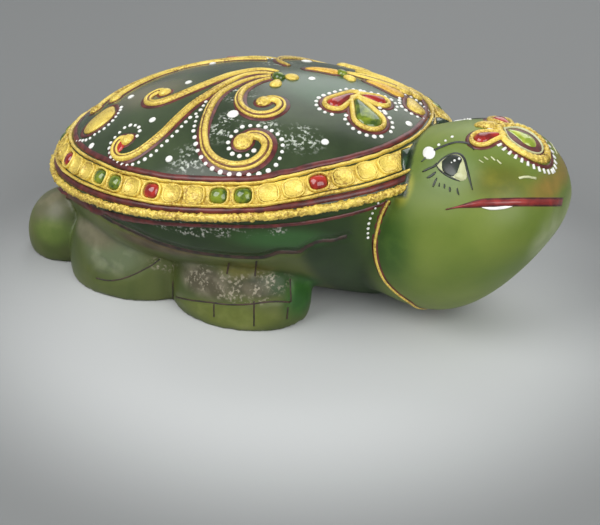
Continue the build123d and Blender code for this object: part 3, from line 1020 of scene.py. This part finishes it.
# %% Scattered dots
SCATTERED_PIXELS = (
    (212.7, 63.7), (188.6, 82.5), (131, 97), (152.4, 120), (169, 159), (91.5, 146), (312, 78.7), (325, 142),
    (408.9, 123.8), (405, 92.7), (233, 114),
)
LARGEST_DOT, LARGE_DOT = 1.25, 0.8
NEAR_CREST = 8
for pixel in SCATTERED_PIXELS:
    place, _ = seen(*pixel)
    size = LARGEST_DOT if pixel == SCATTERED_PIXELS[-1] else LARGE_DOT
    spots = (place, mirror(place)) if place.y < -NEAR_CREST * MM else (place,)
    white_parts += [dot(spot, size, 0.35, 12) for spot in spots]
print("white dots so far:", len(white_parts))

# %% [markdown]
# ## Rings round the dome
# Band, cord and maroon lines are led by the dome's formula, because the remeshed stone would give uneven
# steps. The band was laid by hand, so its level sways a little.

# %% Rings on the dome
CORD_WIDTH, CORD_GAP, BAND_WIDTH = 1.6, 1.0, 4.2
BAND_LOW = CORD_WIDTH + CORD_GAP
BAND_MIDDLE, BAND_TOP = BAND_LOW + BAND_WIDTH / 2, BAND_LOW + BAND_WIDTH
RING_SPOTS = 720
# How far the hand-laid band strays from an even level, in mm, at places along the shell from tail to head
BAND_SWAY = (
    (-1.0, 0.5), (-0.5, 0.55), (-0.26, 0.15), (0.05, -0.2), (0.44, -0.4), (0.56, 0.1), (0.7, 0.5),
    (1.01, 0.5),
)


def sway(share):
    for (x0, y0), (x1, y1) in zip(BAND_SWAY, BAND_SWAY[1:]):
        if share < x1:
            return y0 + (y1 - y0) * ramp(share, x0, x1)
    return BAND_SWAY[-1][1]


def rim_ring(level, step):
    """Stations round the dome at a level above the rim, both in millimetres."""
    oval = []
    for angle in (math.tau * k / RING_SPOTS for k in range(RING_SPOTS + 1)):
        height = (level + sway(math.cos(angle)) * min(1, level / BAND_MIDDLE)) * MM
        waist = math.sqrt(1 - ((height + DOME_SINK) / DOME_C) ** 2)
        oval.append(Vector((DOME_A * waist * math.cos(angle), DOME_B * waist * math.sin(angle), height)))
    stations = []
    for spot in even(oval, step * MM, closed=True):
        out = Vector((spot.x / DOME_A**2, spot.y / DOME_B**2, (spot.z + DOME_SINK) / DOME_C**2)).normalized()
        place = shell_origin + shell_x * spot.x + shell_y * spot.y + shell_z * spot.z
        stations.append((place, shell_x * out.x + shell_y * out.y + shell_z * out.z))
    return stations


# %% [markdown]
# ## The rim band
# The band is pressed with rounded wells between two lips. Some hold lacquer, and the empty ones have a hollow
# floor and a brown ring of painted shade at the foot of the wall. Those that would run into the neck are
# slimmer or left out.

# %% The band's floor and lips
FLOOR_RISE, FLOOR_MARGIN = 0.12, 0.1
LIP_HALF, LIP_IN = 0.36, 0.3
floor_half = BAND_WIDTH / 2 - FLOOR_MARGIN
floor_ring = sweep(rim_ring(BAND_MIDDLE, 0.9), FLAT_SECTION, floor_half, FLOOR_RISE, closed=True)
upper_lip = sweep(rim_ring(BAND_TOP - LIP_IN, 0.5), ROUND_SECTION, LIP_HALF, PASTE_RISE, closed=True)
lower_lip = sweep(rim_ring(BAND_LOW + LIP_IN, 0.5), ROUND_SECTION, LIP_HALF, PASTE_RISE, closed=True)
band_parts = [floor_ring, rough(upper_lip, 0.12, 1.5, 3), rough(lower_lip, 0.12, 1.5, 5)]

# %% The wells
WELL_COUNT, WELL_SPOTS = 49, 24
RED_WELLS = (1, 8, 15, 22, 30, 36, 43)
GREEN_WELLS = (4, 5, 11, 12, 18, 19, 26, 27, 33, 34, 39, 40, 47)
WELL_HALF, WELL_TALL, WELL_SQUARENESS = 2.0, 1.72, 0.7
SLIMMING = (1, 0.8, 0.6, 0.4)
# How far a well's edge may lie off its plane before the well is made slimmer, in millimetres
STRAY = 0.35
FILL_SHARE, SHADE_RING_SHARE = 0.88, 0.83


def well_outline(slim, lean):
    """A rounded square, drawn in to the side that leans away from the neck, and its middle."""
    spots = []
    for a in (math.tau * j / WELL_SPOTS for j in range(WELL_SPOTS)):
        wide, tall = (math.copysign(abs(t) ** WELL_SQUARENESS, t) for t in (math.cos(a), math.sin(a)))
        spots.append(Vector((WELL_HALF * (slim * wide + lean * (1 - slim)), WELL_TALL * tall)))
    return spots, Vector((WELL_HALF * lean * (1 - slim), 0))


oval_length = len(rim_ring(BAND_MIDDLE, 0.1)) * 0.1
well_ring = rim_ring(BAND_MIDDLE, oval_length / WELL_COUNT)
assert len(well_ring) == WELL_COUNT
red_parts, green_parts, gold_wells, well_shade_rings = [], [], [], []
for k, (place, normal) in enumerate(well_ring):
    along = (well_ring[(k + 1) % WELL_COUNT][0] - well_ring[k - 1][0]).normalized()
    on_band = patch(place, normal, along, start=4)
    for slim in SLIMMING:
        spots, centre = well_outline(slim, 1 if k < WELL_COUNT / 2 else -1)
        edge = [on_band(*spot) for spot in spots]
        if all(abs((here - place).dot(normal)) < STRAY * MM for here, _ in edge):
            break
    else:
        continue
    band_parts.append(rough(sweep(edge, ROUND_SECTION, 0.3, PASTE_RISE, closed=True), 0.1, 1.2, k))
    fill = [centre + (spot - centre) * FILL_SHARE for spot in spots]
    if k in RED_WELLS:
        red_parts.append(mound(fill, centre, DROP_RISE, on_band, sunk=0.1))
    elif k in GREEN_WELLS:
        green_parts.append(mound(fill, centre, DROP_RISE, on_band, sunk=0.1))
    else:
        gold_wells.append(rough(mound(fill, centre, 0.72, on_band, sunk=0.1, hollow=0.22), 0.06, 0.8, k))
        # A brown ring near the well's wall is painted shade at the wall's foot
        well_shade_ring = [on_band(*(centre + (spot - centre) * SHADE_RING_SHARE)) for spot in spots]
        well_shade_rings.append(sweep(well_shade_ring, ROUND_SECTION, 0.12, 0.66, closed=True))
piece("rim_band_gilt", band_parts, GILT, ["rim_band"])
piece("rim_well_floors", gold_wells, GILT)
piece("rim_well_shade_rings", well_shade_rings, SHADE_BROWN)
piece("rim_reds", red_parts, RED, ["rim_red_drops"])
piece("rim_greens", green_parts, GREEN, ["rim_green_drops"])
print("wells:", len(gold_wells) + len(RED_WELLS + GREEN_WELLS))

# %% [markdown]
# ## The cord and its maroon lines
# A rough cord of paste with maroon above and below. Its squares are halved and moved by noise of two sizes,
# like lumps. The last well, dark, stands against the neck and has an outline of its own.

# %% The cord, the last well and the maroon lines
LAST_CELL_PIXELS = ((400.5, 150), (411, 148), (409, 160), (406, 171), (402, 172), (400.5, 162))
WALL_LINE_PIXELS = (
    (62, 187), (72, 197), (95, 209.5), (120, 217), (145, 221.5), (170, 224), (200, 225.5), (235, 226.5),
    (270, 226), (300, 223.5), (320, 220.5), (345, 215.5), (370, 208.5), (385, 203),
)
CORD_RISE = 0.75
MAROON_HALF = 0.62
cord = sweep(rim_ring(CORD_WIDTH / 2, 0.35), ROUND_SECTION, CORD_WIDTH / 2, CORD_RISE, closed=True)
bmesh.ops.subdivide_edges(cord, edges=cord.edges, cuts=1, use_grid_fill=True)
piece("rim_cord_gilt", [rough(rough(cord, 0.28, 0.9, 9), 0.24, 0.35, 2)], GILT, ["rim_cord"])
cell = outline_of(LAST_CELL_PIXELS, 20)
piece("last_cell", [mound(cell, middle_of(cell), 0.95, seen)], NIGHT, mirrored=True)
for level in (BAND_TOP + 0.45, CORD_WIDTH + CORD_GAP / 2):
    line = sweep(rim_ring(level, 0.6), FLAT_SECTION, MAROON_HALF, 0.25, closed=True)
    maroon_parts.append(rough(line, 0.08, 2.0, 1))
wall_line = pressed(WALL_LINE_PIXELS)
below = sweep(wall_line, FLAT_SECTION, lambda t: 0.4 + 0.7 * (1 - ramp(t, 0, 0.4)), PAINT_RISE)
piece("wall_line", [rough(below, 0.06, 1.0, 8)], MAROON, mirrored=True)

# %% [markdown]
# ## The neck line
# A thin gilt line with maroon edges, read from the picture and led on under the throat by rays.

# %% Neck line
NECK_PIXELS = (
    (389, 200), (381.5, 214), (377, 231), (375, 245), (377, 262), (384, 279), (396, 292), (410, 302),
)
NECK_DOTS = ((378, 203), (371, 216), (368, 228), (368, 242))
THROAT_STEPS, THROAT_FORWARD, THROAT_BELOW = 8, 2, 10
neck = drawn(NECK_PIXELS, 2.0)
last = neck[-1][0]
for share in (k / THROAT_STEPS for k in range(1, THROAT_STEPS + 1)):
    start = Vector((last.x + THROAT_FORWARD * MM * share, last.y * (1 - share), last.z - THROAT_BELOW * MM))
    neck.append(tree.ray_cast(start, Vector((0, 0, 1)))[:2])
piece("neck_line_gilt", [sweep(neck, ROUND_SECTION, 0.33, 0.4)], GILT, ["collar_line"], mirrored=True)
piece("neck_line_maroon", [sweep(neck, FLAT_SECTION, 0.75, PAINT_RISE)], MAROON, mirrored=True)
neck_dots = dots(in_view(NECK_DOTS), 0.32, 1.2)

# %% [markdown]
# ## The eyes
# Thin paint. A mapped picture would blur when seen close, so each colour is a thin mound.

# %% Eyes
EYE_PIXELS = (
    (436.5, 165.6), (441, 160.5), (447.5, 156.2), (455, 153.8), (460, 155), (464, 159), (466.5, 166),
    (467.5, 174), (466, 179.5), (460, 181), (452.5, 178), (445, 174), (439.5, 169.5),
)
IRIS_PIXELS = (
    (441.5, 161.5), (447.5, 156.6), (455, 154.4), (460, 156), (463, 160), (461.5, 165), (460, 171),
    (457, 176.5), (451, 177), (444.5, 173.3), (441, 168),
)
GLINT_PIXELS = (((455, 161.5), 1.7), ((459.5, 159.5), 1.5), ((452, 163.5), 1.0))
EYE_CORNER_PIXELS = (
    (460, 164.5), (463.5, 168), (466.3, 174), (466, 179), (460, 180), (453.5, 176.5), (457.5, 172.5),
    (459.5, 168),
)
for name, pixels, count, rise, material in (
    ("eye_whites", EYE_PIXELS, 28, 0.22, CREAM),
    ("irises", IRIS_PIXELS, 28, 0.36, BLACK),
    ("eye_corners", EYE_CORNER_PIXELS, 20, 0.42, CREAM),
):
    outline = outline_of(pixels, count)
    piece(name, [mound(outline, middle_of(outline), rise, seen)], material, mirrored=True)
glints = [mound(circle(pixel, radius, 10), pixel, 0.5, seen, rings=3) for pixel, radius in GLINT_PIXELS]
piece("eye_glints", glints, WHITE, mirrored=True)

# %% [markdown]
# ## Brows and lashes
# A brush presses down and lifts again, so a stroke is full in its middle and thin at both ends.

# %% Brows and lashes
LID_PIXELS = (
    (432, 168), (436.5, 165.4), (441, 160.3), (447.5, 156), (455, 153.4), (461, 155), (464.5, 159.5),
    (466.5, 167), (468.8, 176), (472.5, 190),
)
BROW_PIXELS = (
    (421.5, 162), (428.8, 155), (435, 150), (445, 145.6), (455, 142.5), (463.8, 142.5), (470, 145),
    (474, 150),
)
# Each stroke's pixels and its half width in millimetres
LID_LINES = (
    (LID_PIXELS, 0.27),
    (((436.5, 165.6), (439.5, 169.8), (445, 174.3), (452.5, 178.3), (460, 181.2)), 0.2),
    (((422.5, 172), (428, 169), (433.8, 166.5), (437, 163)), 0.28),
    (BROW_PIXELS, 0.3),
    (((427, 178), (431, 176), (436, 172)), 0.3), (((433, 187), (435, 182), (437, 178)), 0.22),
    (((439, 187), (439.6, 183)), 0.12), (((444.4, 188.5), (444.6, 184)), 0.16),
    (((450, 192), (449.8, 187)), 0.2), (((459, 195), (457.6, 191.5), (457.3, 188)), 0.18),
)
FACE_STEP = 1.2


def stroke(width, thin):
    """Half a brush stroke's width along it, thin at its ends by a share."""
    return lambda t: width * min(1, thin + 3 * min(t, 1 - t))


lines = []
for pixels, width in LID_LINES:
    lines.append(sweep(drawn(pixels, FACE_STEP), ROUND_SECTION, stroke(width, 0.35), 0.2))
piece("brow_and_lash_lines", lines, BLACK, mirrored=True)

# %% [markdown]
# ## The mouth
# A red line with a maroon edge, hair-thin at the cheek and wide towards the snout. No red shows at the
# snout's edge in the picture, so the far half starts out of sight beyond it.

# %% Mouth
MOUTH_PIXELS = (
    (446, 209.5), (458, 207), (470, 205), (484, 203), (500, 202.5), (520, 202), (545, 202), (567, 202),
)
# The white line under the mouth is a painted highlight on the lower lip
LIP_HIGHLIGHT_PIXELS = ((482, 207.5), (494, 208.5), (512, 206.5))
PAST_MIDDLE, FAR_MOUTH = 0.3, 9
NOSE_RISE_SHARE = 0.14
mouth = [(place, way) for place, way in drawn(MOUTH_PIXELS, LINE_STEP) if place]
mouth = [(place, way) for place, way in mouth if place.y < PAST_MIDDLE * MM]
far_mouth = [(mirror(place), mirror(way)) for place, way in mouth if place.y < -FAR_MOUTH * MM]


def mouth_line(half, thin, wide, high):
    """A line that widens and then flattens towards the snout."""
    lower = (1 - NOSE_RISE_SHARE) * high
    return sweep(
        half,
        FLAT_SECTION,
        lambda t: thin + wide * ramp(t, 0.03, 0.34),
        lambda t: high - lower * ramp(t, 0.6, 0.9),
    )


for name, sizes, material in (
    ("mouth_edge", (0.14, 0.72, 0.12), MAROON), ("mouth_line", (0.05, 0.5, 0.2), MOUTH)
):
    piece(name, [mouth_line(half, *sizes) for half in (mouth, far_mouth)], material)

# %% Fine strokes and dots on the face
STROKES = (
    (((519, 178), (527, 177), (536, 178.5)), 0.24), (((484, 157), (488, 160)), 0.12),
    (((491, 157), (495, 160.5)), 0.13), (((479, 160), (483, 163)), 0.1), (((497, 160), (501, 164)), 0.13),
)
BROW_SPOT_PIXEL, BROW_SPOT_RADIUS = (429, 153), 6.4
BROW_DOTS = ((438.8, 145), (445, 141.3), (451.3, 137.5), (459, 133.5))
# The lip line is a painted highlight, in white paint
lip = sweep(drawn(LIP_HIGHLIGHT_PIXELS, LINE_STEP), FLAT_SECTION, stroke(0.3, 0.2), 0.2)
strokes = []
for pixels, width in STROKES:
    strokes.append(rough(sweep(drawn(pixels, FACE_STEP), FLAT_SECTION, width, 0.15), 0.08, 0.5, 6))
piece("brow_strokes", strokes, CREAM, mirrored=True)
spots = [mound(circle(BROW_SPOT_PIXEL, BROW_SPOT_RADIUS, 18), BROW_SPOT_PIXEL, 0.35, seen)]
spots += dots(in_view(BROW_DOTS), 0.34, 1.4)
piece("face_whites_and_lip_highlight", [lip] + spots + neck_dots, WHITE, mirrored=True)

# %% [markdown]
# ## The ornament on the brow
# A drop-shaped jewel: a green leaf, a pale line, a maroon ground and a scalloped gilt edge, with a gilt bead
# and two red petals behind it. Its outlines are drops of the plan, alike on both sides.

# %% Brow jewel and petals
BROW_TIP, BROW_END, BROW_RADIUS = (44.2, 0), (48.9, 0), 4.5
LEAF_TIP, LEAF_END, LEAF_RADIUS = (45.6, 0), (49.4, 0), 1.9
PETAL_TIP, PETAL_END, PETAL_RADIUS = (45, 2.4), (42.2, 4.9), 1.6
BEAD_BACK, BEAD_FRONT, BEAD_RADIUS = (39.6, 0), (42.2, 0), 1.5
SCALLOP_RADIUS, SCALLOP_STEP = 0.75, 1.1

jewel = teardrop(BROW_TIP, BROW_END, 0.5, BROW_RADIUS, 0.6)
leaf = teardrop(LEAF_TIP, LEAF_END, 0.3, LEAF_RADIUS, 0.5)
bead = teardrop(BEAD_BACK, BEAD_FRONT, 0.9, BEAD_RADIUS, 0.6)
maroon_parts.append(mound(grown(jewel, 0.3), BROW_END, 0.25, above))
piece("brow_leaf_mound", [mound(leaf, LEAF_END, 0.8, above)], LEAF, ["brow_green_leaf"])
piece("brow_pale_line", [ring(grown(jewel, -1.0), 0.18, 0.5)], CREAM)
gilt, petals = [ring(jewel, 0.75, 0.7), mound(bead, BEAD_FRONT, 1.0, above)], []
for spot in even(jewel + jewel[:1], SCALLOP_STEP):
    gilt.append(mound(circle(spot, SCALLOP_RADIUS), spot, PASTE_RISE, above, rings=3))
for side in (-1, 1):
    tip, end = ((x, side * y) for x, y in (PETAL_TIP, PETAL_END))
    outline = teardrop(tip, end, 0.3, PETAL_RADIUS, 0.5)
    petals.append(mound(outline, end, 0.9, above))
    gilt.append(ring(grown(outline, SETTING_OUT), 0.5, 0.7))
    maroon_ring(grown(outline, 1.2))
piece("brow_gilt", gilt, GILT, ["brow_setting", "brow_bead"])
piece("brow_reds", petals, RED, ["brow_red_petals"])
maroon_ring(grown(jewel, 1.1))

# %% White rays round the jewel
RAYS_OUT, RAY_STEP, RAY_HALF_LENGTH = 1.75, 1.35, 0.5
middle = above(*BROW_END)[0]
for place in even(on_plan(grown(jewel, RAYS_OUT)), RAY_STEP * MM):
    here, way = nearest(place)
    out = (here - middle - way * (here - middle).dot(way)).normalized() * RAY_HALF_LENGTH * MM
    ray = [nearest(here + out * step) for step in (-1, 0, 1)]
    white_parts.append(sweep(ray, ROUND_SECTION, 0.3, 0.25))

# %% [markdown]
# ## Paint of the whole figurine, and dark cracks
# All maroon and white of the shell is gathered by now. The carved lines hold dark dirt, and a thin dark line
# in each shows that better than a deeper cut.

# %% Maroon lines, white dots and dark cracks
# Which lines are dark, and half the width of each kind in millimetres
DARK_LINES = (((WALL_GROOVE_PIXELS,), 0.42), (CURL_PIXELS[:1], 0.14), (TOE_PIXELS, 0.17))
piece("maroon_lines", maroon_parts, MAROON)
piece("white_dots", white_parts, WHITE)
cracks = []
for lines, width in DARK_LINES:
    cracks += [rough(sweep(pressed(pixels), FLAT_SECTION, width, 0.07), 0.05, 0.7, 4) for pixels in lines]
piece("dark_cracks", cracks, DARK, mirrored=True)

# %% [markdown]
# ## Floor and light
# A plain pale floor with a painted pool of light round the figurine and darker paper beyond it, a soft even
# sky and three broad lamps, weak enough that pale paint keeps its colour.

# %% Floor
FLOOR_SIZE = 3.0
# A painted pool of light: the floor's colour is brighter round the figurine and darker away from it
LIGHT_POOL_MIDDLE, LIGHT_POOL_RADII, LIGHT_POOL_CORE = (9, -16, 0), (84, 84, 84), 0.43
PAPER_OUTSIDE_LIGHT_POOL, PAPER_IN_LIGHT_POOL = (0.172, 0.177, 0.175), (0.5, 0.51, 0.505)
sheet = bmesh.new()
bmesh.ops.create_grid(sheet, x_segments=1, y_segments=1, size=FLOOR_SIZE / 2)
floor = new_object("floor", mesh_of(sheet, "floor"))
paper = Finish("pale floor", roughness=0.7)
paper.colour(paper.mix(paper.spot(LIGHT_POOL_MIDDLE, LIGHT_POOL_RADII, LIGHT_POOL_CORE), PAPER_OUTSIDE_LIGHT_POOL, PAPER_IN_LIGHT_POOL))
floor.data.materials.append(paper.material)
print("floor:", FLOOR_SIZE, "m")

# %% Sky and lamps
SKY_COLOUR, SKY_STRENGTH = (0.92, 0.96, 1.0, 1), 0.42
# For each lamp: its place and size in millimetres, and its power in watts
LAMPS = {
    "key": ((-240, -330, 430), 420, 2.7),
    "fill": ((380, -260, 260), 420, 2.0),
    "back": ((-60, 420, 380), 480, 1.3),
}
world = bpy.data.worlds.new("studio")
bpy.context.scene.world = world
world.use_nodes = True
sky = world.node_tree.nodes["Background"].inputs
sky["Color"].default_value = SKY_COLOUR
sky["Strength"].default_value = SKY_STRENGTH
for name, (spot, size, power) in LAMPS.items():
    lamp = bpy.data.objects.new(name, bpy.data.lights.new(name, "AREA"))
    lamp.data.size = size * MM
    lamp.data.energy = power
    lamp.location = Vector(spot) * MM
    lamp.rotation_euler = (lamp.location - AIM).to_track_quat("Z", "Y").to_euler()
    bpy.context.scene.collection.objects.link(lamp)
bpy.context.scene.view_settings.view_transform = "Standard"
print("lamps:", ", ".join(LAMPS))

# %% Update the scene
bpy.context.view_layer.update()
